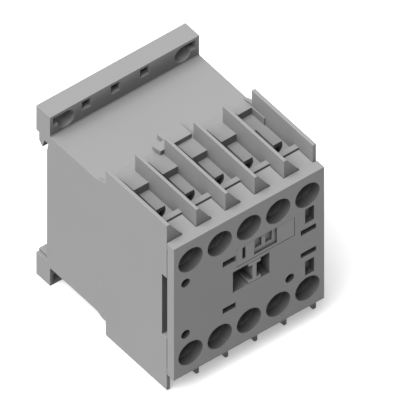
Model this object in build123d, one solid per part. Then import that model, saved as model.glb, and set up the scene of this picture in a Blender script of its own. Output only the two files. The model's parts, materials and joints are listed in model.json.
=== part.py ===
from build123d import *
import os

# Miniature contactor, millimetres. X runs across the front, +Y to the back, +Z up.
# The origin is the centre of the four fixing holes, on the back plane of the ears.
# A depth is measured from the face of the front cover backwards.

# Outer sizes
overall_depth = 53.0
cover_width = 45.0
cover_height = 43.7
side_inset = 0.15
ear_reach = 6.45
foot_reach = 6.05
split_depth = 28.7
ear_thick = 5.3

# Terminals
columns = 5
poles = 4
terminal_drop = 6.35
driver_hole_r = 3.65

# Front cover
cover_thick = 2.55
cover_seat = 0.38
tongue_back = 8.15
tongue_rise = 0.1
tongue_deep = 2.2
fit_gap = 0.1

# Barrier fins of the contact housing
fin_reach = 5.5
fin_thick = 0.8
outer_fin_thick = 0.95
fin_back_wall = 2.35
gusset_width = 3.75
gusset_thick = 0.7

# Stepped floor of a chamber
bar_rise = 0.55
bar_gap = 0.25
bar_thick = 1.5
shelf_drop = 2.0
shelf_thick = 1.25
plateau_rise = 0.37
plateau_length = 7.5
coil_plateau_length = 2.6
coil_rib = 0.3
wire_slot_width = 3.5
wire_slot_wall = 1.9
wire_slot_height = 9.85
wire_step = 1.65
wire_mouth_r = 3.9
wire_mouth_depth = 15.9
shelf_front = 14.6

# Snap tab on top, with its reach in front of and behind the split
tab_left = -2.75
tab_right = 3.8
tab_front_reach = 1.8
tab_back_reach = 3.0
tab_rise = 1.5
wing_left = -6.1
wing_left_front = -5.7
wing_front_reach = 2.0
wing_back_reach = 0.6
wing_rise = 0.45

# Lips on the side walls behind the outer fins
lip_rise = 0.95
lip_ramp = 1.1
lip_root = 0.5

# Carrier, its head and the window in the cover
travel = 4.0
overtravel = 1.6
head_left = -0.2
head_right = 3.5
head_top = 3.26
head_bottom = -3.14
head_flange = 0.9
head_web = 1.2
window_left = -4.85
window_right = 6.15
window_top = 3.46
window_bottom = -3.34
carrier_front = 7.6
carrier_half_height = 3.3
carrier_side_wall = 1.35
carrier_front_wall = 1.4
carrier_rear_wall = 3.0
bridge_window_width = 5.0
magnet_room = 6.3
carrier_plate_thick = 2.5
carrier_arm_thick = 2.0
carrier_arm_half_height = 2.6
carrier_arm_inset = 1.35
carrier_plate_inset = 2.5
prong_half_width = 3.0
prong_thick = 1.45
prong_length = 2.9
run_gap = 0.4

# Contacts
bridge_width = 4.6
bridge_half_length = 8.0
bridge_thick = 0.9
bridge_seat_depth = 14.4
tip_r = 1.4
tip_thick = 0.5
tip_z = 6.2
strip_width = 6.0
strip_thick = 1.0
strip_inner_z = 4.2
strip_end_gap = 0.2
strip_boss_r = 2.6
strip_boss_thick = 1.8
chamber_width = 7.2
chamber_wall = 3.25

# Terminal screws and clamps
screw_head_r = 3.0
screw_head_thick = 2.4
screw_r = 1.75
screw_length = 6.1
screw_slot = 0.8
screw_slot_depth = 1.1
screw_cross = 0.7
clamp_width = 6.4
clamp_height = 5.8
clamp_thick = 1.0
clamp_lip = 0.25
clamp_rest_gap = 0.4
screw_fit = 0.06
clamp_travel = 3.0

# Magnet
magnet_spring_gap = 3.75
magnet_half_height = 5.5
centre_leg_half_width = 4.0
outer_leg_width = 4.5
armature_web = 3.5
armature_leg = 3.0
yoke_web = 4.0
pad_thick = 0.8
pad_half_height = 4.5
pad_width = 5.0
pin_r = 1.0
pin_fit = 0.03
ring_wire = 0.9
ring_deep = 1.0
ring_sink = 0.2

# Coil
bobbin_wall = 0.8
bobbin_gap = 0.4
bobbin_flange = 1.0
bobbin_clearance = 0.5
bobbin_half_height = 11.6
coil_inset = 0.5
lead_width = 3.0
lead_thick = 0.8
lead_drop = 5.3
lead_overlap = 1.5

# Base housing
housing_wall = 1.4
ear_root = 0.25
cradle_wall = 1.5
cradle_gap = 0.15
cradle_ring_gap = 1.4
spring_post_inset = 2.2
spring_post_r = 2.5
spring_pin_r = 1.1
spring_pin_length = 2.6

# Rail hook, channel and latch, for a 35 mm mounting rail
rail_height = 35.0
rail_thick = 1.0
channel_deep = 4.08
hook_roof_drop = 2.8
hook_back_drop = 1.64
hook_lip_drop = 5.5
hook_step = 1.1
hook_slot_back = 3.15
hook_tip_back = 2.4
slot_front_back = 4.6
foot_top_rise = 2.1
foot_side_wall = 0.84
foot_side_step = 0.85
latch_width = 16.0
latch_gap = 0.15
latch_front_gap = 0.18
latch_back = 0.85
latch_travel = 2.2
latch_grip = 1.3
latch_nose = 0.8
latch_end = 0.5
latch_window_width = 3.8
latch_peg_height = 1.8
latch_peg_rise = 4.9
latch_pull_slot_width = 4.0
latch_pull_slot_height = 0.9

# Fixing holes, and the recesses in the ears
fixing_x = 17.5
fixing_z = 25.0
fixing_hole_r = 2.25
fixing_recess_wall = 1.15
fixing_recess_height = 2.4
fixing_recess_deep = 3.5
square_recess = 2.3
square_recess_deep = 3.0
recess_chamfer = 0.25
square_recess_x = (-11.4, -2.7, 6.0)

# Springs
return_spring_r = 1.85
return_spring_wire = 0.4
return_spring_turns = 5
return_spring_length = 11.6
contact_spring_r = 1.45
contact_spring_wire = 0.35
contact_spring_turns = 4
latch_spring_r = 1.1
latch_spring_wire = 0.3
latch_spring_turns = 4
latch_spring_solid = 2.5
spring_sides = 10
spring_flat = 0.85

# Cover details: left, right, bottom and top edges
centre_slots = ((-7.9, -4.0, 6.9, 8.6), (-7.9, -4.0, -8.6, -6.9))
coil_slots = ((-2.0, 2.6, 3.05, 4.65), (-2.0, 2.6, -4.45, -2.9))
pocket_x = (-0.7, 2.0)
pocket_inner_z = (6.35, 6.25)
pocket_hole_gap = (0.7, 0.9)
cover_pocket_deep = 1.8
pilot_hole_r = 1.3
pilot_left = 1.5
pilot_left_z = (8.65, -8.45)
pilot_right = (12.2, -8.95)
label_x = (-3.65, 13.7)
label_bottom = 4.45
label_hole_gap = 1.3
label_deep = 1.2
label_sink = 0.06
label_slit = (-1.95, -1.0, 6.05, 9.75)
label_window = (1.6, 8.4, 5.35, 10.25)
label_window_deep = 0.45
label_pockets = ((2.2, 4.1, 6.85, 10.05), (5.3, 7.2, 6.85, 10.05))
side_slot_length = 20.0
side_slot_width = 1.85
side_slot_deep = 2.0

# Derived places
half_height = cover_height / 2
half_body = cover_width / 2 - side_inset
column_pitch = (2 * half_body - outer_fin_thick) / columns
terminal_z = half_height - terminal_drop
hole_bottom = terminal_z - driver_hole_r
front_seat = cover_thick + cover_seat
ear_front = overall_depth - ear_thick
channel_floor = overall_depth - channel_deep
base_floor = ear_front
ear_top = half_height + ear_reach
foot_bottom = -half_height - foot_reach
foot_top = -half_height + foot_top_rise
bar_front = tongue_back + bar_gap
bar_back = bar_front + bar_thick
shelf_top = half_height - shelf_drop
plateau_top = half_height + plateau_rise
plateau_front = split_depth - plateau_length
coil_plateau_front = split_depth - coil_plateau_length
lip_top = half_height + lip_rise
tongue_bottom = half_height - tongue_deep
fin_back = split_depth - fin_back_wall
column_x = [(i - (columns - 1) / 2) * column_pitch for i in range(columns)]
fin_x = [(i - (columns - 2) / 2) * column_pitch for i in range(columns - 1)]
pole_x = column_x[:poles]
coil_x = column_x[-1]
strip_front = bridge_seat_depth + tip_thick + travel - overtravel + tip_thick
strip_back = strip_front + strip_thick
clamp_back = strip_front - clamp_rest_gap
clamp_front = clamp_back - clamp_thick
chamber_front = clamp_front - clamp_travel - run_gap
chamber_half_height = half_height - chamber_wall
strip_outer_z = chamber_half_height - strip_end_gap
lead_z = terminal_z - lead_drop
carrier_window_front = carrier_front + carrier_front_wall
carrier_bar_back = bridge_seat_depth + carrier_rear_wall
carrier_left = pole_x[0] - bridge_window_width / 2 - carrier_side_wall
carrier_right = pole_x[-1] + bridge_window_width / 2 + carrier_side_wall
carrier_arm_reach = half_body - carrier_arm_inset
yoke_plate_front = split_depth - magnet_room
carrier_arm_back = yoke_plate_front + carrier_arm_thick
armature_front = yoke_plate_front + carrier_plate_thick
armature_web_back = armature_front + armature_web
armature_face = armature_web_back + armature_leg
yoke_face = armature_face + travel
yoke_back = base_floor - pad_thick
yoke_web_front = yoke_back - yoke_web
cradle_front = yoke_face + ring_sink + ring_deep + cradle_ring_gap
spring_post_x = half_body - housing_wall - spring_post_inset
spring_seat_depth = carrier_arm_back + return_spring_length
magnet_half_width = spring_post_x - magnet_spring_gap
carrier_plate_half_width = magnet_half_width - carrier_plate_inset
pin_depth = armature_front + armature_web / 2
prong_back = armature_front + prong_length
prong_half_height = magnet_half_height + prong_thick
bobbin_back = yoke_web_front
bobbin_front = armature_web_back + travel + bobbin_clearance
bobbin_half_width = magnet_half_width - outer_leg_width - bobbin_gap
hook_roof = half_height - hook_roof_drop
rail_bottom = hook_roof - rail_height
latch_front = channel_floor + latch_front_gap
latch_rear = overall_depth - latch_back
latch_depth = (latch_front + latch_rear) / 2
latch_peg_z = foot_bottom + latch_peg_rise
latch_window_top = latch_peg_z + latch_travel + latch_spring_solid


def block(x, depth, z):
    """A block between two x, two depths and two heights."""
    size = (x[1] - x[0], depth[1] - depth[0], z[1] - z[0])
    middle = (sum(x) / 2, sum(depth) / 2 - overall_depth, sum(z) / 2)
    return Pos(*middle) * Box(*size)


def rod_back(x, z, radius, depth):
    """A cylinder that runs from the front to the back."""
    middle = (x, sum(depth) / 2 - overall_depth, z)
    return Pos(*middle) * Rot(90, 0, 0) * Cylinder(radius, depth[1] - depth[0])


def rod_up(x, depth, radius, z):
    """An upright cylinder."""
    return Pos(x, depth - overall_depth, sum(z) / 2) * Cylinder(radius, z[1] - z[0])


def across(outline, x):
    """A side outline of (depth, height) points, carried across the width."""
    side = Plane(origin=(x[0], -overall_depth, 0), x_dir=(0, 1, 0), z_dir=(1, 0, 0))
    return extrude(side * make_face(Polyline(*outline, close=True)), amount=x[1] - x[0])


def to_back(face, depth):
    """A face drawn as seen from the front, carried from one depth to the other."""
    rear = Plane(origin=(0, depth[1] - overall_depth, 0), x_dir=(1, 0, 0), z_dir=(0, -1, 0))
    return extrude(rear * face, amount=depth[1] - depth[0])


def edged(edges, depth):
    """A block given by its left, right, bottom and top edges on the cover."""
    return block(edges[0:2], depth, edges[2:4])


def upper(shape, x):
    """Sets a chamber shape, drawn about x = 0, into the upper row."""
    return Pos(x, 0, 0) * shape


def lower(shape, x):
    """The same chamber shape turned by half a turn into the lower row."""
    return Pos(x, 0, 0) * Rot(0, 180, 0) * shape


def both_rows(shape, places):
    """One shape in the upper and the lower row of each given column."""
    return [row(shape, x) for x in places for row in (upper, lower)]


def coil_spring(mean_r, wire, length, turns):
    """A compression spring of square wire on the Z axis, wound in short straight runs."""
    runs = turns * spring_sides
    start = wire / 2
    rise = (length - wire) / runs
    turn = 360 / spring_sides
    points = [Vector(mean_r, 0, start + i * rise).rotate(Axis.Z, i * turn) for i in range(runs + 1)]
    path = Polyline(*points)
    side = wire * spring_flat
    section = Plane(origin=path @ 0, z_dir=path % 0) * Rectangle(side, side)
    return sweep(section, path=path, transition=Transition.RIGHT)


def lip(depth_z):
    """A low lip above and below both side walls, from its (depth, height) points."""
    root = half_height - lip_root
    outline = [(depth_z[0][0], root)] + depth_z + [(depth_z[-1][0], root)]
    left = across(outline, (-half_body, -half_body + outer_fin_thick))
    right = across(outline, (half_body - outer_fin_thick, half_body))
    return [left, right, Rot(0, 180, 0) * left, Rot(0, 180, 0) * right]


# Base housing

def base_outline():
    """Side outline: top, ear, rail hook, channel and foot."""
    top = half_height
    hook_back = overall_depth - hook_step
    return [
        (split_depth, top),
        (ear_front - ear_root, top),
        (ear_front, top + ear_root),
        (ear_front, ear_top),
        (overall_depth, ear_top),
        (overall_depth, top - hook_back_drop),
        (hook_back, top - hook_back_drop),
        (hook_back, top - hook_lip_drop + (hook_tip_back - hook_step)),
        (overall_depth - hook_tip_back, top - hook_lip_drop),
        (overall_depth - hook_slot_back, hook_roof),
        (overall_depth - slot_front_back, hook_roof),
        (channel_floor, top - hook_lip_drop),
        (channel_floor, foot_top),
        (overall_depth, foot_top),
        (overall_depth, foot_bottom),
        (ear_front, foot_bottom),
        (ear_front, -top - ear_root),
        (ear_front - ear_root, -top),
        (split_depth, -top),
    ]


def fixing_cut(sign_x, sign_z):
    """Fixing hole through an ear, with its recess towards the side."""
    hole = rod_back(sign_x * fixing_x, sign_z * fixing_z, fixing_hole_r, (ear_front - 1, overall_depth + 1))
    edge = sign_z * (fixing_z + fixing_hole_r)
    inner = edge - sign_z * fixing_recess_height
    recess = block(
        sorted((sign_x * fixing_x, sign_x * (half_body - fixing_recess_wall))),
        (ear_front - 1, ear_front + fixing_recess_deep),
        sorted((edge, inner)),
    )
    return hole + recess


def magnet_cradle():
    """Walls that hold the yoke, and the two posts of the return springs."""
    inner_x = magnet_half_width + cradle_gap
    inner_z = magnet_half_height + cradle_gap
    outer_x = inner_x + cradle_wall
    outer_z = inner_z + cradle_wall
    frame = block((-outer_x, outer_x), (yoke_web_front + cradle_gap, base_floor), (-outer_z, outer_z))
    cradle = frame + block((-outer_x, outer_x), (cradle_front, base_floor), (-inner_z, inner_z))
    cradle -= block((-inner_x, inner_x), (cradle_front - 1, base_floor), (-inner_z, inner_z))
    for x in (-spring_post_x, spring_post_x):
        cradle += rod_back(x, 0, spring_post_r, (spring_seat_depth, base_floor))
        cradle += rod_back(x, 0, spring_pin_r, (spring_seat_depth - spring_pin_length, spring_seat_depth))
    return cradle


def recess_rims(body):
    """Edges round the holes and recesses in the front of the two ears."""
    plane_y = ear_front - overall_depth
    margin = 2 * recess_chamfer
    rims = []
    for edge in body.edges().filter_by_position(Axis.Y, plane_y - fit_gap, plane_y + fit_gap):
        middle = edge.bounding_box().center()
        inside = half_height + margin < abs(middle.Z) < ear_top - margin
        if inside and abs(middle.X) < half_body - margin:
            rims.append(edge)
    return rims


def base_housing():
    body = across(base_outline(), (-half_body, half_body))
    inner_x = half_body - housing_wall
    inner_z = half_height - housing_wall
    body -= block((-inner_x, inner_x), (split_depth - 1, base_floor), (-inner_z, inner_z))
    body += magnet_cradle()
    for sign_x in (-1, 1):
        for sign_z in (-1, 1):
            body -= fixing_cut(sign_x, sign_z)
        side = sorted((sign_x * (half_body - foot_side_wall), sign_x * (half_body + 1)))
        body -= block(side, (channel_floor, overall_depth + 1), (foot_top - foot_side_step, foot_top + 1))
    for x in square_recess_x:
        half = square_recess / 2
        body -= block(
            (x - half, x + half),
            (ear_front - 1, ear_front + square_recess_deep),
            (fixing_z, fixing_z + square_recess),
        )
    body = chamfer(recess_rims(body), recess_chamfer)
    for part in lip([(split_depth, half_height + lip_rise / 2), (split_depth + lip_ramp, half_height)]):
        body += part
    body -= block(
        (tab_left - fit_gap, tab_right + fit_gap),
        (split_depth - 1, split_depth + tab_back_reach + fit_gap),
        (half_height - fit_gap, lip_top),
    )
    guide = latch_width / 2 + latch_gap
    body -= block(
        (-guide, guide),
        (channel_floor, latch_rear + latch_gap),
        (foot_bottom - 1, foot_top + 1),
    )
    peg = latch_window_width / 2 - latch_gap
    body += block(
        (-peg, peg),
        (channel_floor - fit_gap, latch_rear + latch_gap + fit_gap),
        (latch_peg_z - latch_peg_height, latch_peg_z),
    )
    return body


# Rail latch

def rail_latch():
    """Slider with a nose that holds the lower edge of the rail."""
    bottom = foot_bottom + latch_end
    shelf = rail_bottom - fit_gap
    nose_top = rail_bottom + latch_grip
    nose_front = channel_floor + rail_thick + latch_front_gap
    outline = [
        (latch_front, bottom),
        (latch_front, shelf),
        (nose_front, shelf),
        (nose_front, nose_top),
        (nose_front + latch_nose, nose_top),
        (latch_rear, shelf - latch_nose),
        (latch_rear, bottom),
    ]
    half = latch_width / 2
    latch = across(outline, (-half, half))
    window = latch_window_width / 2
    window_z = (latch_peg_z - latch_peg_height - 2 * latch_gap, latch_window_top)
    latch -= block((-window, window), (latch_front - 1, overall_depth), window_z)
    pull = latch_pull_slot_width / 2
    pull_z = (bottom + latch_end, bottom + latch_end + latch_pull_slot_height)
    latch -= block((-pull, pull), (latch_front - 1, overall_depth), pull_z)
    return latch


def latch_spring():
    length = latch_window_top - latch_peg_z
    spring = coil_spring(latch_spring_r, latch_spring_wire, length, latch_spring_turns)
    return Pos(0, latch_depth - overall_depth, latch_peg_z) * spring


# Contact housing

def housing_outline():
    """Side outline of the housing body, with the stepped floor of the chambers."""
    upper_half = [
        (front_seat, tongue_bottom),
        (bar_front, tongue_bottom),
        (bar_front, half_height + bar_rise),
        (bar_back, half_height + bar_rise),
        (bar_back, shelf_top),
        (plateau_front, shelf_top),
        (plateau_front, plateau_top),
        (split_depth, half_height),
    ]
    return upper_half + [(depth, -z) for depth, z in reversed(upper_half)]


def fin(x):
    """A barrier plate that stands out above and below the housing."""
    reach = half_height + fin_reach
    return block(x, (front_seat, fin_back), (-reach, reach))


def gusset():
    """Three-cornered web at the front end of a chamber, against its left fin."""
    left = -column_pitch / 2
    base = left + fin_thick / 2
    reach = half_height + fin_reach
    outline = [
        (left, tongue_bottom),
        (left, reach),
        (base, reach),
        (base + gusset_width, half_height),
        (base + gusset_width, tongue_bottom),
    ]
    web = to_back(make_face(Polyline(*outline, close=True)), (front_seat, front_seat + gusset_thick))
    tongue_half = column_pitch / 2 - fin_thick / 2
    return web - block((-tongue_half, tongue_half), (front_seat - 1, bar_front), (0, half_height))


def wire_entry():
    """Opening of one terminal: a slot beside the screw, a step and a round mouth."""
    left = -(column_pitch - fin_thick) / 2
    depth = (bar_back, split_depth - wire_slot_wall)
    slot = block((left, left + wire_slot_width), depth, (half_height - wire_slot_height, plateau_top + 1))
    inner = left + wire_slot_width
    floor = shelf_top - shelf_thick - 1
    slot += block((inner - 1, inner + wire_step), (shelf_front, plateau_front), (floor, shelf_top + 1))
    mouth = rod_up(0, wire_mouth_depth, wire_mouth_r, (floor, shelf_top + 1))
    mouth -= block((-column_pitch, column_pitch), (shelf_front, overall_depth), (0, half_height))
    return slot + mouth


def screw_well():
    """Driver hole in front of a terminal, and the room for its screw behind it."""
    well = rod_back(0, terminal_z, driver_hole_r, (front_seat - 1, chamber_front + 1))
    tip_back = clamp_front + screw_length + 1
    well += rod_back(0, terminal_z, strip_boss_r + 2 * fit_gap, (strip_front, tip_back))
    return well


def strip_seat(room_z, inner_z):
    """Room of one terminal chamber and the seat of its contact strip."""
    half = chamber_width / 2
    room = block((-half, half), (chamber_front, strip_front), (room_z, chamber_half_height))
    seat_half = strip_width / 2 + fit_gap / 2
    seat_z = (inner_z, strip_outer_z + fit_gap / 2)
    return room + block((-seat_half, seat_half), (strip_front, strip_back), seat_z)


def carrier_room():
    """Everything that the carrier and the armature sweep inside the contact housing."""
    bar_z = carrier_half_height + run_gap
    room = block(
        (carrier_left - run_gap, carrier_right + run_gap),
        (carrier_front - run_gap, yoke_plate_front),
        (-bar_z, bar_z),
    )
    room += block(
        (window_left - run_gap, window_right + run_gap),
        (front_seat - 1, carrier_front),
        (window_bottom - run_gap, window_top + run_gap),
    )
    arm_x = carrier_arm_reach + run_gap
    arm_z = carrier_arm_half_height + run_gap
    well_front = yoke_plate_front - run_gap
    room += block((-arm_x, arm_x), (well_front, split_depth + 1), (-arm_z, arm_z))
    well_x = magnet_half_width + run_gap
    well_z = magnet_half_height + run_gap + fit_gap
    room += block((-well_x, well_x), (well_front, split_depth + 1), (-well_z, well_z))
    prong_x = prong_half_width + run_gap
    prong_z = prong_half_height + run_gap
    room += block((-prong_x, prong_x), (well_front, split_depth + 1), (-prong_z, prong_z))
    return room


def snap_tab():
    """Raised tab with its wing, which hooks the contact housing onto the base."""
    top = half_height + tab_rise
    depth = (split_depth - tab_front_reach, split_depth + tab_back_reach)
    tab = block((tab_left, tab_right), depth, (half_height, top))
    front = split_depth - wing_front_reach - overall_depth
    back = split_depth + wing_back_reach - overall_depth
    wing = [(tab_left, front), (wing_left_front, front), (wing_left, back), (tab_left, back)]
    base = Pos(0, 0, half_height + wing_rise) * make_face(Polyline(*wing, close=True))
    return tab + extrude(base, amount=tab_rise - wing_rise)


def contact_housing():
    body = across(housing_outline(), (-half_body, half_body))
    for x in fin_x:
        body += fin((x - fin_thick / 2, x + fin_thick / 2))
    body += fin((-half_body, -half_body + outer_fin_thick))
    body += fin((half_body - outer_fin_thick, half_body))
    ramp_top = (split_depth - lip_ramp, lip_top)
    for part in lip([(fin_back - fit_gap, lip_top), ramp_top, (split_depth, half_height + lip_rise / 2)]):
        body += part
    for web in both_rows(gusset(), column_x):
        body += web
    body += snap_tab()
    for cut in both_rows(wire_entry() + screw_well(), column_x):
        body -= cut
    for cut in both_rows(strip_seat(0, strip_inner_z - fit_gap / 2), pole_x):
        body -= cut
    for cut in both_rows(strip_seat(lead_z - fit_gap, lead_z - fit_gap), [coil_x]):
        body -= cut
    inner = (column_pitch - fin_thick) / 2
    drop = block((-inner, inner - coil_rib), (plateau_front - 1, coil_plateau_front), (shelf_top, lip_top))
    lead_half = lead_width / 2 + 2 * fit_gap
    lead_room = (lead_z - fit_gap, lead_z + lead_thick + fit_gap)
    drop += block((-lead_half, lead_half), (strip_back, split_depth + 1), lead_room)
    for cut in both_rows(drop, [coil_x]):
        body -= cut
    body -= carrier_room()
    middle = -half_height + cover_height / 2
    body -= block(
        (-half_body - 1, -half_body + side_slot_deep),
        (front_seat - 1, front_seat + side_slot_width),
        (middle - side_slot_length / 2, middle + side_slot_length / 2),
    )
    return body


# Front cover and label plate

def tongue():
    """Plate that closes the front of one chamber between its fins."""
    half = (column_pitch - fin_thick) / 2 - 2 * fit_gap
    outline = [
        (cover_thick - fit_gap, tongue_bottom + fit_gap),
        (cover_thick - fit_gap, half_height),
        (cover_thick, half_height),
        (tongue_back, half_height + tongue_rise),
        (tongue_back, tongue_bottom + fit_gap),
    ]
    return across(outline, (-half, half))


def front_cover():
    half = cover_width / 2
    cover = block((-half, half), (0, cover_thick), (-half_height, half_height))
    seat_x = half_body - outer_fin_thick - fit_gap
    seat_z = tongue_bottom - fit_gap
    cover += block((-seat_x, seat_x), (cover_thick, front_seat), (-seat_z, seat_z))
    for band in ((-half_height, -tongue_bottom), (tongue_bottom, half_height)):
        cover += block((-half_body, half_body), (cover_thick, front_seat - fit_gap), band)
    for plate in both_rows(tongue(), column_x):
        cover += plate
    gusset_room = block(
        (-column_pitch / 2, -column_pitch / 2 + fin_thick / 2 + gusset_width + fit_gap),
        (front_seat - fit_gap, front_seat + gusset_thick + fit_gap),
        (half_height - fit_gap, half_height + fin_reach),
    )
    for cut in both_rows(gusset_room, column_x):
        cover -= cut
    for cut in both_rows(rod_back(0, terminal_z, driver_hole_r, (-1, front_seat + 1)), column_x):
        cover -= cut
    cover -= block((window_left, window_right), (-1, front_seat + 1), (window_bottom, window_top))
    for edges in centre_slots:
        cover -= edged(edges, (-1, front_seat + 1))
    for edges in coil_slots:
        cover -= Pos(coil_x, 0, 0) * edged(edges, (-1, front_seat + 1))
    for sign, inner_z, gap in zip((1, -1), pocket_inner_z, pocket_hole_gap):
        z = sorted((sign * inner_z, sign * (hole_bottom - gap)))
        cover -= Pos(coil_x, 0, 0) * block(pocket_x, (-1, cover_pocket_deep), z)
    for x, z in [(pole_x[0] - pilot_left, z) for z in pilot_left_z] + [pilot_right]:
        cover -= rod_back(x, z, pilot_hole_r, (-1, front_seat + 1))
    return cover - block(label_x, (-1, label_deep), (label_bottom, hole_bottom - label_hole_gap))


def label_plate():
    """Marker insert, with a slit and a sunk window with two pockets."""
    x = (label_x[0] + fit_gap, label_x[1] - fit_gap)
    z = (label_bottom + fit_gap, hole_bottom - label_hole_gap - fit_gap)
    plate = block(x, (label_sink, label_deep), z)
    plate -= edged(label_slit, (-1, label_deep + 1))
    plate -= edged(label_window, (-1, label_sink + label_window_deep))
    for edges in label_pockets:
        plate -= edged(edges, (-1, label_deep + 1))
    return plate


# Carrier and armature

def carrier_head():
    """I-shaped head of the carrier, with rounded left ends."""
    middle_x = (head_left + head_right) / 2
    middle_z = (head_top + head_bottom) / 2
    width = head_right - head_left
    web = Pos(middle_x, middle_z) * Rectangle(head_web, head_top - head_bottom - head_flange)
    face = web
    for z in (head_top - head_flange / 2, head_bottom + head_flange / 2):
        face += Pos(middle_x + head_flange / 4, z) * Rectangle(width - head_flange / 2, head_flange)
        face += Pos(head_left + head_flange / 2, z) * Circle(head_flange / 2)
    return to_back(face, (0, carrier_front + carrier_front_wall))


def contact_carrier():
    z = (-carrier_half_height, carrier_half_height)
    bar = block((carrier_left, carrier_right), (carrier_front, carrier_bar_back), z)
    half_window = bridge_window_width / 2
    for x in pole_x:
        window = (x - half_window, x + half_window)
        bar -= block(window, (carrier_window_front, bridge_seat_depth), (-column_pitch, column_pitch))
    carrier = bar + carrier_head()
    stem_half = carrier_plate_half_width / 2
    carrier += block((-stem_half, stem_half), (carrier_bar_back, yoke_plate_front), z)
    plate_x = (-carrier_plate_half_width, carrier_plate_half_width)
    plate_z = (-magnet_half_height, magnet_half_height)
    carrier += block(plate_x, (yoke_plate_front, armature_front), plate_z)
    arm_x = (-carrier_arm_reach, carrier_arm_reach)
    arm_z = (-carrier_arm_half_height, carrier_arm_half_height)
    carrier += block(arm_x, (yoke_plate_front, carrier_arm_back), arm_z)
    prong_x = (-prong_half_width, prong_half_width)
    prong_z = (-prong_half_height, prong_half_height)
    prongs = block(prong_x, (yoke_plate_front, prong_back), prong_z)
    carrier += prongs - block(prong_x, (armature_front, prong_back), plate_z)
    carrier -= rod_up(0, pin_depth, pin_r + pin_fit, (-2 * prong_half_height, 2 * prong_half_height))
    for x in (-spring_post_x, spring_post_x):
        carrier += rod_back(x, 0, spring_pin_r, (carrier_arm_back, carrier_arm_back + spring_pin_r))
    return carrier


def e_core(web, legs):
    """E-shaped core: web and three legs, given by their depths."""
    z = (-magnet_half_height, magnet_half_height)
    core = block((-magnet_half_width, magnet_half_width), web, z)
    core += block((-centre_leg_half_width, centre_leg_half_width), legs, z)
    for sign in (-1, 1):
        inner = sign * (magnet_half_width - outer_leg_width)
        core += block(sorted((inner, sign * magnet_half_width)), legs, z)
    return core


def armature():
    core = e_core((armature_front, armature_web_back), (armature_web_back, armature_face))
    bore = rod_up(0, pin_depth, pin_r + pin_fit, (-magnet_half_height - 1, magnet_half_height + 1))
    return core - bore


def armature_pin():
    return rod_up(0, pin_depth, pin_r, (-prong_half_height, prong_half_height))


def return_springs():
    length = spring_seat_depth - carrier_arm_back
    spring = coil_spring(return_spring_r, return_spring_wire, length, return_spring_turns)
    springs = []
    for x in (-spring_post_x, spring_post_x):
        springs.append(Pos(x, carrier_arm_back - overall_depth, 0) * Rot(-90, 0, 0) * spring)
    return Compound(springs)


# Fixed magnet and coil

def ring_slot_x():
    """Where the groove of a shading ring splits an outer leg."""
    inner = magnet_half_width - outer_leg_width + outer_leg_width / 3
    return (inner, inner + ring_wire)


def yoke():
    core = e_core((yoke_web_front, yoke_back), (yoke_face, yoke_web_front))
    slot = ring_slot_x()
    for sign in (-1, 1):
        groove = sorted((sign * slot[0], sign * slot[1]))
        core -= block(groove, (yoke_face, yoke_face + ring_sink + ring_deep), (-column_pitch, column_pitch))
    return core


def shading_rings():
    """Copper rings round two thirds of each outer pole face."""
    depth = (yoke_face + ring_sink, yoke_face + ring_sink + ring_deep)
    slot = ring_slot_x()
    rings = []
    for sign in (-1, 1):
        outer_x = sorted((sign * slot[0], sign * (magnet_half_width + ring_wire)))
        inner_x = sorted((sign * slot[1], sign * magnet_half_width))
        outer_z = magnet_half_height + ring_wire
        ring = block(outer_x, depth, (-outer_z, outer_z))
        rings.append(ring - block(inner_x, depth, (-magnet_half_height, magnet_half_height)))
    return Compound(rings)


def shock_pads():
    pads = []
    for sign in (-1, 1):
        outer = sign * (magnet_half_width - fit_gap)
        x = sorted((outer, outer - sign * pad_width))
        pads.append(block(x, (yoke_back, base_floor), (-pad_half_height, pad_half_height)))
    return Compound(pads)


def tube_wall():
    """Half width and half height of the bore and of the tube around it."""
    bore = (centre_leg_half_width + bobbin_gap, magnet_half_height + bobbin_gap)
    return bore, (bore[0] + bobbin_wall, bore[1] + bobbin_wall)


def coil_bobbin():
    bore, tube = tube_wall()
    bobbin = block((-tube[0], tube[0]), (bobbin_front, bobbin_back), (-tube[1], tube[1]))
    flange_x = (-bobbin_half_width, bobbin_half_width)
    flange_z = (-bobbin_half_height, bobbin_half_height)
    bobbin += block(flange_x, (bobbin_front, bobbin_front + bobbin_flange), flange_z)
    bobbin += block(flange_x, (bobbin_back - bobbin_flange, bobbin_back), flange_z)
    return bobbin - block((-bore[0], bore[0]), (bobbin_front - 1, bobbin_back + 1), (-bore[1], bore[1]))


def coil_winding():
    """Winding body with rounded corners between the flanges of the bobbin."""
    tube = tube_wall()[1]
    depth = (bobbin_front + bobbin_flange, bobbin_back - bobbin_flange)
    width = 2 * (bobbin_half_width - coil_inset)
    height = 2 * (bobbin_half_height - coil_inset)
    corner = (width - 2 * tube[0]) / 2
    face = RectangleRounded(width, height, corner / 2) - Rectangle(2 * tube[0], 2 * tube[1])
    return to_back(face, depth)


def strip(inner_z):
    """Flat terminal strip with its threaded boss, drawn for the upper row."""
    half = strip_width / 2
    plate = block((-half, half), (strip_front, strip_back), (inner_z, strip_outer_z))
    plate += rod_back(0, terminal_z, strip_boss_r, (strip_back, strip_back + strip_boss_thick))
    bore = rod_back(0, terminal_z, screw_r + screw_fit, (strip_front - 1, strip_back + strip_boss_thick + 1))
    return plate - bore


def coil_lead(mirrored):
    """Coil terminal strip, led back and across to the flange of the bobbin."""
    half = lead_width / 2
    z = (lead_z, lead_z + lead_thick)
    lead = strip(lead_z)
    lead += block((-half, half), (strip_front, bobbin_front), z)
    side = -1 if mirrored else 1
    end = bobbin_half_width - lead_overlap - coil_x
    lead += block(sorted((side * end, side * half)), (bobbin_front - lead_thick, bobbin_front), z)
    return lower(lead, coil_x) if mirrored else upper(lead, coil_x)


# Contacts

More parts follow.
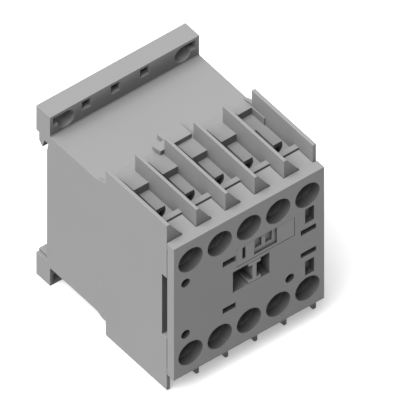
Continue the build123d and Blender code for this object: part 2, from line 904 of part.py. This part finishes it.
def contact_bridge(x):
    """Moving contact: a bar with rounded ends that lies across two fixed tips."""
    face = SlotOverall(2 * bridge_half_length, bridge_width, rotation=90)
    depth = (bridge_seat_depth - bridge_thick, bridge_seat_depth)
    return Pos(x, 0, 0) * to_back(face, depth)


def bridge_tips(x):
    depth = (bridge_seat_depth, bridge_seat_depth + tip_thick)
    return Compound([rod_back(x, z, tip_r, depth) for z in (-tip_z, tip_z)])


def contact_spring(x):
    front = carrier_window_front
    length = bridge_seat_depth - bridge_thick - front
    spring = coil_spring(contact_spring_r, contact_spring_wire, length, contact_spring_turns)
    return Pos(x, front - overall_depth, 0) * Rot(-90, 0, 0) * spring


def fixed_contacts(row):
    return Compound([row(strip(strip_inner_z), x) for x in pole_x])


def fixed_contact_tips():
    depth = (strip_front - tip_thick, strip_front)
    return Compound([rod_back(x, z, tip_r, depth) for x in pole_x for z in (-tip_z, tip_z)])


# Terminal screws and clamps, drawn for the upper row

def terminal_screw():
    head_front = clamp_front - screw_head_thick
    screw = rod_back(0, terminal_z, screw_head_r, (head_front, clamp_front))
    screw += rod_back(0, terminal_z, screw_r, (clamp_front, clamp_front + screw_length))
    groove = (head_front - 1, head_front + screw_slot_depth)
    half = screw_slot / 2
    arm = screw_head_r * screw_cross
    screw -= block((-screw_head_r - 1, screw_head_r + 1), groove, (terminal_z - half, terminal_z + half))
    return screw - block((-half, half), groove, (terminal_z - arm, terminal_z + arm))


def terminal_clamp():
    """Square washer with two lips that grip the wire, captive under the screw head."""
    half_x = clamp_width / 2
    half_z = clamp_height / 2
    z = (terminal_z - half_z, terminal_z + half_z)
    clamp = block((-half_x, half_x), (clamp_front, clamp_back), z)
    for sign in (-1, 1):
        lip = sorted((sign * half_x, sign * (half_x - clamp_thick)))
        clamp += block(lip, (clamp_back, clamp_back + clamp_lip), z)
    return clamp - rod_back(0, terminal_z, screw_r + screw_fit, (clamp_front - 1, clamp_back + 1))


def write(shape, name):
    export_step(shape, "parts/" + name + ".step")


def main():
    os.makedirs("parts", exist_ok=True)
    write(base_housing(), "base_housing")
    write(contact_housing(), "contact_housing")
    write(front_cover(), "front_cover")
    write(label_plate(), "label_plate")
    write(rail_latch(), "rail_latch")
    write(latch_spring(), "latch_spring")
    write(contact_carrier(), "contact_carrier")
    write(armature(), "armature")
    write(armature_pin(), "armature_pin")
    write(return_springs(), "return_springs")
    write(yoke(), "yoke")
    write(shading_rings(), "shading_rings")
    write(shock_pads(), "shock_pads")
    write(coil_bobbin(), "coil_bobbin")
    write(coil_winding(), "coil_winding")
    write(coil_lead(False), "coil_lead_top")
    write(coil_lead(True), "coil_lead_bottom")
    write(fixed_contacts(upper), "fixed_contacts_top")
    write(fixed_contacts(lower), "fixed_contacts_bottom")
    write(fixed_contact_tips(), "fixed_contact_tips")
    for number, x in enumerate(pole_x, start=1):
        write(contact_bridge(x), f"contact_bridge_{number}")
        write(bridge_tips(x), f"bridge_tips_{number}")
        write(contact_spring(x), f"contact_spring_{number}")
    for row, place in (("top", upper), ("bottom", lower)):
        for number, x in enumerate(column_x, start=1):
            write(place(terminal_screw(), x), f"terminal_screw_{row}_{number}")
            write(place(terminal_clamp(), x), f"terminal_clamp_{row}_{number}")


main()
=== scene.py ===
import json
import bpy
import numpy as np
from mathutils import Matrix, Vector


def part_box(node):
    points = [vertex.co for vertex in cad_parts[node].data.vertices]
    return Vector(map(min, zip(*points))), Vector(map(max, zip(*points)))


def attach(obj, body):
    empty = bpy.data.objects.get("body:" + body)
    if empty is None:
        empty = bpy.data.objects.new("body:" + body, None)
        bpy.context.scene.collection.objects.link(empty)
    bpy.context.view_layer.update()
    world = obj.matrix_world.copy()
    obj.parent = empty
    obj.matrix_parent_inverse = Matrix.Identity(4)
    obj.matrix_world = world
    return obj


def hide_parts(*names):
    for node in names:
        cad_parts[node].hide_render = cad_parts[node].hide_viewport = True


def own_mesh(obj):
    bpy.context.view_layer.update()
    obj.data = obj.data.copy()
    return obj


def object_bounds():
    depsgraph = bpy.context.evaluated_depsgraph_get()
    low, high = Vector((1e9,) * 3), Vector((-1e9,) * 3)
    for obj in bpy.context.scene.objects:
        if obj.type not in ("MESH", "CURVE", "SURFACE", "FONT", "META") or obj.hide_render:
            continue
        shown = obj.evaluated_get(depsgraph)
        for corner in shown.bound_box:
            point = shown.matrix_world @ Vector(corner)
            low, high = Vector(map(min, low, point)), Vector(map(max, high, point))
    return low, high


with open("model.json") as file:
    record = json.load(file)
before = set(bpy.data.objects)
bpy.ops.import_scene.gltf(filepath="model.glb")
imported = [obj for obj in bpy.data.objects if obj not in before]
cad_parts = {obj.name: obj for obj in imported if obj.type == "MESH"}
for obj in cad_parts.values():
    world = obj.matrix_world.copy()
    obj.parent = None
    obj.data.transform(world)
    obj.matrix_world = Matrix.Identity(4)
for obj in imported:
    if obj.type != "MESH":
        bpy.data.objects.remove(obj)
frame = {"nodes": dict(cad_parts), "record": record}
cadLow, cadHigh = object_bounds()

mm = 0.001
nodes = frame["nodes"]


# Helpers for node trees: each adds one node and gives back its output

def mathNode(tree, operation, first, second=None):
    node = tree.nodes.new("ShaderNodeMath")
    node.operation = operation
    for index, value in enumerate((first, second)):
        if isinstance(value, (int, float)):
            node.inputs[index].default_value = value
        elif value is not None:
            tree.links.new(value, node.inputs[index])
    return node.outputs[0]


def spanOf(tree, value, low, high):
    # Low where the value is 0 and high where it is 1.
    span = tree.nodes.new("ShaderNodeMapRange")
    tree.links.new(value, span.inputs["Value"])
    span.inputs["To Min"].default_value = low
    span.inputs["To Max"].default_value = high
    return span.outputs["Result"]


def blendColour(tree, mask, under, over):
    # One colour where the mask is 0 and the other where it is 1, each three numbers or a socket.
    mix = tree.nodes.new("ShaderNodeMix")
    mix.data_type = "RGBA"
    tree.links.new(mask, mix.inputs["Factor"])
    for label, colour in (("A", under), ("B", over)):
        if isinstance(colour, tuple):
            mix.inputs[label].default_value = (*colour, 1)
        else:
            tree.links.new(colour, mix.inputs[label])
    return mix.outputs["Result"]


def noiseOf(tree, place, scale, detail):
    noise = tree.nodes.new("ShaderNodeTexNoise")
    noise.inputs["Detail"].default_value = detail
    tree.links.new(scale, noise.inputs["Scale"])
    tree.links.new(place, noise.inputs["Vector"])
    return noise.outputs["Fac"]


def bumpOf(tree, height, strength, depth, normal=None):
    bump = tree.nodes.new("ShaderNodeBump")
    bump.inputs["Strength"].default_value = strength
    bump.inputs["Distance"].default_value = depth
    tree.links.new(height, bump.inputs["Height"])
    if normal is not None:
        tree.links.new(normal, bump.inputs["Normal"])
    return bump.outputs["Normal"]


# Stage: camera, floor, light

stageSet = {
    "aim": (10.34 * mm, -20.96 * mm, -6.93 * mm),    # the point in the middle of the picture
    "towardsCamera": (-0.43534, -0.55721, 0.70711),
    "cameraDistance": 0.45,
    "viewWidth": 94.42 * mm,
    "nearest": 0.01,          # what the camera sees lies between these two
    "farthest": 10.0,
    "floorSize": 4.0,
    "floorRoughness": 0.9,
    "floorColour": 0.93,      # as the camera sees it
    "floorGlow": 0.40,        # added to that, so that the floor is nearly white
    "floorBounce": 0.18,      # as it lights the object from below
    "skySeen": 1.0,
    "skyLight": 0.24,
    "sunFrom": (-0.50, -0.03, 0.866),
    "sunStrength": 4.1,
    "sunAngle": 1.0,          # radians: a wide sun, so that shadows are soft
}


def seenOrLit(tree, seen, lit):
    # One number for camera, glossy and glass rays and another for light.
    path = tree.nodes.new("ShaderNodeLightPath")
    direct = path.outputs["Is Camera Ray"]
    for kind in ("Is Glossy Ray", "Is Transmission Ray"):
        direct = mathNode(tree, "MAXIMUM", direct, path.outputs[kind])
    return spanOf(tree, direct, lit, seen)


def makeCamera():
    back = Vector(stageSet["towardsCamera"]).normalized()
    data = bpy.data.cameras.new("photoCamera")
    data.type = "ORTHO"
    data.ortho_scale = stageSet["viewWidth"]
    data.clip_start = stageSet["nearest"]
    data.clip_end = stageSet["farthest"]
    camera = bpy.data.objects.new("photoCamera", data)
    camera.location = Vector(stageSet["aim"]) + back * stageSet["cameraDistance"]
    camera.rotation_mode = "QUATERNION"
    camera.rotation_quaternion = (-back).to_track_quat("-Z", "Y")
    bpy.context.scene.collection.objects.link(camera)
    bpy.context.scene.camera = camera


def makeFloor():
    # A level square under the lowest point of the part.
    half = stageSet["floorSize"] / 2
    low = cadLow.z
    corners = [(-half, -half, low), (half, -half, low), (half, half, low), (-half, half, low)]
    mesh = bpy.data.meshes.new("floor")
    mesh.from_pydata(corners, [], [(0, 1, 2, 3)])
    floor = bpy.data.objects.new("floor", mesh)
    bpy.context.scene.collection.objects.link(floor)
    material = bpy.data.materials.new("floorPaper")
    material.use_nodes = True
    tree = material.node_tree
    shader = tree.nodes["Principled BSDF"]
    shader.inputs["Roughness"].default_value = stageSet["floorRoughness"]
    shader.inputs["Specular IOR Level"].default_value = 0.0
    grey = seenOrLit(tree, stageSet["floorColour"], stageSet["floorBounce"])
    tree.links.new(grey, shader.inputs["Base Color"])
    glow = seenOrLit(tree, stageSet["floorGlow"], 0.0)
    shader.inputs["Emission Color"].default_value = (1, 1, 1, 1)
    tree.links.new(glow, shader.inputs["Emission Strength"])
    mesh.materials.append(material)


def makeLight():
    world = bpy.data.worlds.new("studio")
    bpy.context.scene.world = world
    world.use_nodes = True
    tree = world.node_tree
    background = tree.nodes["Background"]
    background.inputs["Color"].default_value = (1, 1, 1, 1)
    strength = seenOrLit(tree, stageSet["skySeen"], stageSet["skyLight"])
    tree.links.new(strength, background.inputs["Strength"])
    data = bpy.data.lights.new("softKey", "SUN")
    data.energy = stageSet["sunStrength"]
    data.angle = stageSet["sunAngle"]
    lamp = bpy.data.objects.new("softKey", data)
    lamp.rotation_mode = "QUATERNION"
    lamp.rotation_quaternion = Vector(stageSet["sunFrom"]).to_track_quat("Z", "Y")
    bpy.context.scene.collection.objects.link(lamp)


bpy.context.scene.view_settings.view_transform = "Standard"
makeCamera()
makeFloor()
makeLight()
print("stage ready")


# Shader groups that several materials share

effectSet = {
    "edgeSamples": 6,
    "hollowShadeSamples": 12,
    "grainDetail": 2.0,
    "cloudDetail": 3.0,
}


def newGroup(name, inputs, outputs):
    group = bpy.data.node_groups.new(name, "ShaderNodeTree")
    for label, kind, value in inputs:
        socket = group.interface.new_socket(name=label, in_out="INPUT", socket_type=kind)
        socket.default_value = value
    for label, kind in outputs:
        group.interface.new_socket(name=label, in_out="OUTPUT", socket_type=kind)
    return group, group.nodes.new("NodeGroupInput"), group.nodes.new("NodeGroupOutput")


def dotOf(group, first, second):
    dot = group.nodes.new("ShaderNodeVectorMath")
    dot.operation = "DOT_PRODUCT"
    group.links.new(first, dot.inputs[0])
    group.links.new(second, dot.inputs[1])
    return dot.outputs["Value"]


def makeEdgeGroup():
    # Normal that is rounded near an edge, and a mask of edges that the materials lighten, as wear
    # and on the plastics also as a painted highlight: Gain times 1 minus the product of rounded
    # and flat normal, so 0 on flat faces and at most 1.
    group, enter, leave = newGroup(
        "softEdge",
        [("Radius", "NodeSocketFloat", 0.1 * mm), ("Gain", "NodeSocketFloat", 4.0)],
        [("Normal", "NodeSocketVector"), ("Mask", "NodeSocketFloat")],
    )
    bevel = group.nodes.new("ShaderNodeBevel")
    bevel.samples = effectSet["edgeSamples"]
    group.links.new(enter.outputs["Radius"], bevel.inputs["Radius"])
    face = group.nodes.new("ShaderNodeNewGeometry")
    alike = dotOf(group, bevel.outputs["Normal"], face.outputs["True Normal"])
    away = mathNode(group, "SUBTRACT", 1.0, alike)
    mask = mathNode(group, "MULTIPLY", away, enter.outputs["Gain"])
    group.links.new(bevel.outputs["Normal"], leave.inputs["Normal"])
    group.links.new(mathNode(group, "MINIMUM", mask, 1.0), leave.inputs["Mask"])
    return group


def makeGrainGroup():
    # Height of a spark-eroded mould surface, and a slow tone that wanders over the part.
    group, enter, leave = newGroup(
        "mouldGrain",
        [("Grain", "NodeSocketFloat", 5200.0), ("Cloud", "NodeSocketFloat", 55.0)],
        [("Height", "NodeSocketFloat"), ("Tone", "NodeSocketFloat")],
    )
    place = group.nodes.new("ShaderNodeTexCoord").outputs["Object"]
    fine = noiseOf(group, place, enter.outputs["Grain"], effectSet["grainDetail"])
    cloud = noiseOf(group, place, enter.outputs["Cloud"], effectSet["cloudDetail"])
    group.links.new(fine, leave.inputs["Height"])
    group.links.new(cloud, leave.inputs["Tone"])
    return group


def openAir(group, reach, alone):
    # Share of open air around a point: 1 on open faces, less in holes and slots.
    air = group.nodes.new("ShaderNodeAmbientOcclusion")
    air.samples = effectSet["hollowShadeSamples"]
    air.only_local = alone      # true where only the piece itself may cover the point
    group.links.new(reach, air.inputs["Distance"])
    return air.outputs["AO"]


def makeHollowShadeGroup():
    # Mask of painted shade in hollows: the piece's own open air raised to one power, times the
    # open air among all pieces raised to another. With y and z of the face's normal, y being the
    # part's depth, the first power is Power + Wall * y squared - Level * z to the fourth, so that
    # the painted shade is deeper on walls square to the depth and lighter on level faces, and the
    # second is Beside * y squared.
    group, enter, leave = newGroup(
        "hollowPaintedShade",
        [("Reach", "NodeSocketFloat", 5.0 * mm), ("Power", "NodeSocketFloat", 1.0),
         ("Wall", "NodeSocketFloat", 3.0), ("Level", "NodeSocketFloat", 0.0),
         ("Beside", "NodeSocketFloat", 0.0)],
        [("Open", "NodeSocketFloat")],
    )
    own = openAir(group, enter.outputs["Reach"], True)
    among = openAir(group, enter.outputs["Reach"], False)
    place = group.nodes.new("ShaderNodeTexCoord")
    parts = group.nodes.new("ShaderNodeSeparateXYZ")
    group.links.new(place.outputs["Normal"], parts.inputs[0])
    square = mathNode(group, "POWER", mathNode(group, "ABSOLUTE", parts.outputs["Y"]), 2.0)
    level = mathNode(group, "POWER", mathNode(group, "ABSOLUTE", parts.outputs["Z"]), 4.0)
    more = mathNode(group, "MULTIPLY", square, enter.outputs["Wall"])
    less = mathNode(group, "MULTIPLY", level, enter.outputs["Level"])
    raised = mathNode(group, "ADD", more, enter.outputs["Power"])
    ownPower = mathNode(group, "SUBTRACT", raised, less)
    amongPower = mathNode(group, "MULTIPLY", square, enter.outputs["Beside"])
    shaped = mathNode(group, "POWER", own, ownPower)
    shaded = mathNode(group, "POWER", among, amongPower)
    group.links.new(mathNode(group, "MULTIPLY", shaped, shaded), leave.inputs["Open"])
    return group


def makeBandGroup():
    # Parallel bands along an axis, such as laminations or turns of wire: the sine of half a
    # turn for each pitch, so 0 in a joint and 1 in the middle of a band.
    group, enter, leave = newGroup(
        "stackBands",
        [("Axis", "NodeSocketVector", (0, 0, 1)), ("Pitch", "NodeSocketFloat", 0.5 * mm)],
        [("Band", "NodeSocketFloat")],
    )
    place = group.nodes.new("ShaderNodeTexCoord").outputs["Object"]
    along = dotOf(group, place, enter.outputs["Axis"])
    inside = mathNode(group, "FRACT", mathNode(group, "DIVIDE", along, enter.outputs["Pitch"]))
    wave = mathNode(group, "SINE", mathNode(group, "MULTIPLY", inside, np.pi))
    group.links.new(wave, leave.inputs["Band"])
    return group


edgeGroup = makeEdgeGroup()
grainGroup = makeGrainGroup()
hollowShadeGroup = makeHollowShadeGroup()
bandGroup = makeBandGroup()
print("shader groups ready")


def placeGroup(tree, group, **values):
    node = tree.nodes.new("ShaderNodeGroup")
    node.node_tree = group
    for label, value in values.items():
        node.inputs[label].default_value = value
    return node


def startMaterial(name, metallic, specular=0.5):
    material = bpy.data.materials.new(name)
    material.use_nodes = True
    tree = material.node_tree
    shader = tree.nodes["Principled BSDF"]
    shader.inputs["Metallic"].default_value = metallic
    shader.inputs["Specular IOR Level"].default_value = specular
    return material, tree, shader


# Plastics: tone is the grey and spread how far it wanders, edge the grey of edges, partly real
# wear and partly a painted highlight, rough the lowest and highest roughness, deep the share of
# the tone that is left in hollows as painted shade, and the rest of its line says how far and
# how strongly the painted shade darkens hollows.

plasticSet = {
    "housingPlastic": {
        "tone": 0.310, "spread": 0.008, "edge": 0.42, "edgeRadius": 0.10 * mm,
        "grain": 5200.0, "bump": 0.10, "rough": (0.46, 0.60), "deep": 0.42,
        "reach": 7.0 * mm, "power": 1.3, "wall": 4.3, "level": 0.8, "beside": 1.8,
    },
    "coverPlastic": {
        "tone": 0.310, "spread": 0.008, "edge": 0.42, "edgeRadius": 0.10 * mm,
        "grain": 5200.0, "bump": 0.10, "rough": (0.44, 0.58), "deep": 0.26,
        "reach": 7.0 * mm, "power": 4.5, "wall": -3.5, "level": -3.0, "beside": 0.0,
    },
    "labelPlastic": {
        "tone": 0.288, "spread": 0.006, "edge": 0.42, "edgeRadius": 0.06 * mm,
        "grain": 9000.0, "bump": 0.04, "rough": (0.34, 0.42), "deep": 0.20,
        "reach": 4.0 * mm, "power": 3.5, "wall": -2.0, "level": 0.0, "beside": 0.0,
    },
    "latchPlastic": {
        "tone": 0.270, "spread": 0.008, "edge": 0.37, "edgeRadius": 0.12 * mm,
        "grain": 5200.0, "bump": 0.10, "rough": (0.44, 0.58), "deep": 0.25,
        "reach": 4.0 * mm, "power": 1.3, "wall": 4.3, "level": 0.8, "beside": 0.0,
    },
    "carrierPlastic": {
        "tone": 0.350, "spread": 0.010, "edge": 0.45, "edgeRadius": 0.12 * mm,
        "grain": 6400.0, "bump": 0.08, "rough": (0.42, 0.55), "deep": 0.20,
        "reach": 8.0 * mm, "power": 5.0, "wall": -4.0, "level": 2.0, "beside": 0.0,
    },
    "bobbinPlastic": {
        "tone": 0.022, "spread": 0.006, "edge": 0.06, "edgeRadius": 0.15 * mm,
        "grain": 4200.0, "bump": 0.15, "rough": (0.45, 0.62), "deep": 0.60,
        "reach": 4.0 * mm, "power": 1.0, "wall": 0.0, "level": 0.0, "beside": 0.0,
    },
    "padRubber": {
        "tone": 0.012, "spread": 0.004, "edge": 0.03, "edgeRadius": 0.20 * mm,
        "grain": 3000.0, "bump": 0.20, "rough": (0.75, 0.90), "deep": 0.60,
        "reach": 4.0 * mm, "power": 1.0, "wall": 0.0, "level": 0.0, "beside": 0.0,
    },
}
# wear is how far edges lighten: partly real wear and partly a painted highlight along edges.
plasticShared = {"specular": 0.35, "wear": 0.55, "grainDepth": 0.03 * mm}


def greyOf(value):
    return (value, value, value)


def plasticMaterial(name):
    look = plasticSet[name]
    material, tree, shader = startMaterial(name, 0.0, plasticShared["specular"])
    grain = placeGroup(tree, grainGroup, Grain=look["grain"])
    edge = placeGroup(tree, edgeGroup, Radius=look["edgeRadius"])
    shadeMask = placeGroup(tree, hollowShadeGroup, Reach=look["reach"], Power=look["power"],
                        Wall=look["wall"], Level=look["level"], Beside=look["beside"])
    dark, light = greyOf(look["tone"] - look["spread"]), greyOf(look["tone"] + look["spread"])
    tone = blendColour(tree, grain.outputs["Tone"], dark, light)
    # Lighter edges: partly real wear and partly a painted highlight along the edges.
    wear = mathNode(tree, "MULTIPLY", edge.outputs["Mask"], plasticShared["wear"])
    worn = blendColour(tree, wear, tone, greyOf(look["edge"]))
    # Painted shade: hollows darken towards this share of the tone as the open-air mask falls.
    deep = greyOf(look["tone"] * look["deep"])
    colour = blendColour(tree, shadeMask.outputs["Open"], deep, worn)
    height = grain.outputs["Height"]
    normal = bumpOf(tree, height, look["bump"], plasticShared["grainDepth"], edge.outputs["Normal"])
    tree.links.new(colour, shader.inputs["Base Color"])
    tree.links.new(spanOf(tree, height, *look["rough"]), shader.inputs["Roughness"])
    tree.links.new(normal, shader.inputs["Normal"])
    return material


# Metals: the colour wanders between dark and light, and worn edges are light

metalSet = {
    "zincSteel": {
        "dark": (0.42, 0.42, 0.40), "light": (0.62, 0.62, 0.59),
        "rough": (0.24, 0.40), "cloud": 900.0,
    },
    "springSteel": {
        "dark": (0.30, 0.30, 0.31), "light": (0.50, 0.50, 0.50),
        "rough": (0.22, 0.34), "cloud": 1500.0,
    },
    "stripCopper": {
        "dark": (0.50, 0.22, 0.12), "light": (0.72, 0.38, 0.24),
        "rough": (0.26, 0.42), "cloud": 700.0,
    },
    "tipSilver": {
        "dark": (0.60, 0.60, 0.58), "light": (0.80, 0.80, 0.77),
        "rough": (0.28, 0.46), "cloud": 1600.0,
    },
}
metalShared = {
    "grain": 6000.0, "bump": 0.08, "grainDepth": 0.01 * mm, "edgeRadius": 0.08 * mm, "wear": 0.4,
}


def metalMaterial(name):
    look = metalSet[name]
    material, tree, shader = startMaterial(name, 1.0)
    grain = placeGroup(tree, grainGroup, Grain=metalShared["grain"], Cloud=look["cloud"])
    edge = placeGroup(tree, edgeGroup, Radius=metalShared["edgeRadius"])
    tone = blendColour(tree, grain.outputs["Tone"], look["dark"], look["light"])
    wear = mathNode(tree, "MULTIPLY", edge.outputs["Mask"], metalShared["wear"])
    worn = blendColour(tree, wear, tone, look["light"])
    normal = bumpOf(tree, grain.outputs["Height"], metalShared["bump"],
                    metalShared["grainDepth"], edge.outputs["Normal"])
    tree.links.new(worn, shader.inputs["Base Color"])
    tree.links.new(spanOf(tree, grain.outputs["Tone"], *look["rough"]), shader.inputs["Roughness"])
    tree.links.new(normal, shader.inputs["Normal"])
    return material


# Banded pieces: sheets of the magnet core and turns of the coil

bandSet = {
    "coreSteel": {
        "axis": (0, 0, 1), "pitch": 0.5 * mm, "joint": (0.10, 0.10, 0.10),
        "face": (0.36, 0.36, 0.37), "metallic": 1.0, "rough": (0.30, 0.55), "bump": 0.5,
    },
    "windingWire": {
        "axis": (0, 1, 0), "pitch": 0.16 * mm, "joint": (0.10, 0.03, 0.015),
        "face": (0.55, 0.20, 0.07), "metallic": 0.6, "rough": (0.25, 0.45), "bump": 0.9,
    },
}
bandShared = {
    "grain": 7000.0, "cloud": 400.0, "dull": 0.25, "bandDepth": 0.05 * mm,
    "narrowing": 0.35,        # power of the bands, below 1 for narrow joints
}


def bandMaterial(name):
    look = bandSet[name]
    material, tree, shader = startMaterial(name, look["metallic"])
    bands = placeGroup(tree, bandGroup, Axis=look["axis"], Pitch=look["pitch"])
    grain = placeGroup(tree, grainGroup, Grain=bandShared["grain"], Cloud=bandShared["cloud"])
    shape = mathNode(tree, "POWER", bands.outputs["Band"], bandShared["narrowing"])
    tone = blendColour(tree, shape, look["joint"], look["face"])
    dirt = mathNode(tree, "MULTIPLY", grain.outputs["Tone"], bandShared["dull"])
    dull = blendColour(tree, dirt, tone, look["joint"])
    normal = bumpOf(tree, shape, look["bump"], bandShared["bandDepth"])
    tree.links.new(dull, shader.inputs["Base Color"])
    tree.links.new(spanOf(tree, grain.outputs["Tone"], *look["rough"]), shader.inputs["Roughness"])
    tree.links.new(normal, shader.inputs["Normal"])
    return material


slotMaterial = {
    "housing": plasticMaterial("housingPlastic"),
    "cover": plasticMaterial("coverPlastic"),
    "label": plasticMaterial("labelPlastic"),
    "latch": plasticMaterial("latchPlastic"),
    "carrier": plasticMaterial("carrierPlastic"),
    "bobbin": plasticMaterial("bobbinPlastic"),
    "pad_rubber": plasticMaterial("padRubber"),
    "screw_steel": metalMaterial("zincSteel"),
    "spring_steel": metalMaterial("springSteel"),
    "copper": metalMaterial("stripCopper"),
    "silver": metalMaterial("tipSilver"),
    "core_steel": bandMaterial("coreSteel"),
    "winding": bandMaterial("windingWire"),
}
for entry in frame["record"]["subparts"]:
    mesh = nodes[entry["node"]].data
    mesh.materials.clear()
    mesh.materials.append(slotMaterial[entry["material_slot"]])
print("materials ready")


# Springs: radius is that of the coil, and travel how far it is pressed at the joint's limit

springSet = {
    "returnSpring": {
        "radius": 1.85 * mm, "wire": 0.40 * mm, "turns": 6.0, "travel": 4.0 * mm,
        "fromMiddle": 18.75 * mm,       # of each of the two, along x
    },
    "contactSpring": {
        "radius": 1.45 * mm, "wire": 0.35 * mm, "turns": 4.0, "travel": 1.6 * mm,
    },
    "latchSpring": {
        "radius": 1.10 * mm, "wire": 0.30 * mm, "turns": 5.0, "travel": 2.2 * mm,
    },
}
coilShared = {
    "sides": 12,              # of the wire
    "stepsPerTurn": 48,
    "closedTurns": 0.75,      # at each end
    "closedRise": 1.05,       # climb of a closed end, in wire radii
    "steep": 0.9,             # an axis with more z than this counts as upright
}


def gridPiece(name, points):
    # Closed tube from rings of points: four neighbours make a face, and a cap closes each end.
    rows, columns = points.shape[:2]
    index = np.arange(rows * columns).reshape(rows, columns)
    right = np.roll(index, -1, axis=1)
    quads = np.stack([index[:-1], index[1:], right[1:], right[:-1]], axis=-1).reshape(-1, 4)
    faces = quads.tolist() + [index[0].tolist(), index[-1][::-1].tolist()]
    mesh = bpy.data.meshes.new(name)
    mesh.from_pydata(points.reshape(-1, 3).tolist(), [], faces)
    mesh.validate()
    mesh.polygons.foreach_set("use_smooth", [True] * len(mesh.polygons))
    mesh.update()
    piece = bpy.data.objects.new(name, mesh)
    bpy.context.scene.collection.objects.link(piece)
    return piece


def coilSurface(name, kind, start, end):
    # Wire swept along a helix. The centre line turns evenly at the coil's radius around the axis
    # and climbs evenly between two flat closed ends. Each ring of the wire is its radius times
    # the cosine outwards plus the sine along the axis.
    look = springSet[kind]
    start, end = np.array(start, float), np.array(end, float)
    axis = end - start
    length = np.linalg.norm(axis)
    axis /= length
    across = (1.0, 0.0, 0.0) if abs(axis[2]) > coilShared["steep"] else (0.0, 0.0, 1.0)
    side = np.cross(axis, across)
    side /= np.linalg.norm(side)
    other = np.cross(axis, side)

    wire = look["wire"] / 2
    share = np.linspace(0.0, 1.0, int(look["turns"] * coilShared["stepsPerTurn"]) + 1)
    closed = coilShared["closedTurns"] / look["turns"]
    closedRise = coilShared["closedRise"] * wire
    inEnds = np.minimum(share, closed) + np.maximum(share - 1 + closed, 0)
    between = np.clip((share - closed) / (1 - 2 * closed), 0, 1)
    climb = wire + closedRise * inEnds / closed + between * (length - 2 * (wire + closedRise))

    angle = (2 * np.pi * look["turns"] * share)[:, None]
    outwards = np.cos(angle) * side + np.sin(angle) * other
    centre = start + climb[:, None] * axis + look["radius"] * outwards
    around = np.linspace(0.0, 2 * np.pi, coilShared["sides"], endpoint=False)[None, :, None]
    ring = np.cos(around) * outwards[:, None, :] + np.sin(around) * axis
    return gridPiece(name, centre[:, None, :] + wire * ring)


def springEnds(node, offset, axis):
    # Where a spring's ends sit, from its CAD node's box: offset is the way along x from the middle.
    low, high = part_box(node)
    centre = (low + high) / 2
    centre.x += offset
    start, end = centre.copy(), centre.copy()
    start[axis] = low[axis]
    end[axis] = high[axis]
    return start, end


def dressSpring(name, kind, start, end, body):
    piece = coilSurface(name, kind, start, end)
    piece.data.materials.append(slotMaterial["spring_steel"])
    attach(piece, body)
    return piece


for side, label in ((-1, "Left"), (1, "Right")):
    offset = side * springSet["returnSpring"]["fromMiddle"]
    front, back = springEnds("return_springs", offset, 1)
    spring = dressSpring("returnSpring" + label, "returnSpring", front, back, "root")
    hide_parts("return_springs")
    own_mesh(spring)

for number in range(1, 5):
    front, back = springEnds(f"contact_spring_{number}", 0, 1)
    spring = dressSpring(f"contactSpring{number}", "contactSpring", front, back, "carrier")
    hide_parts(f"contact_spring_{number}")
    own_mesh(spring)

foot, head = springEnds("latch_spring", 0, 2)
spring = dressSpring("latchSpring", "latchSpring", foot, head, "root")
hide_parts("latch_spring")
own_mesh(spring)
print("springs ready")
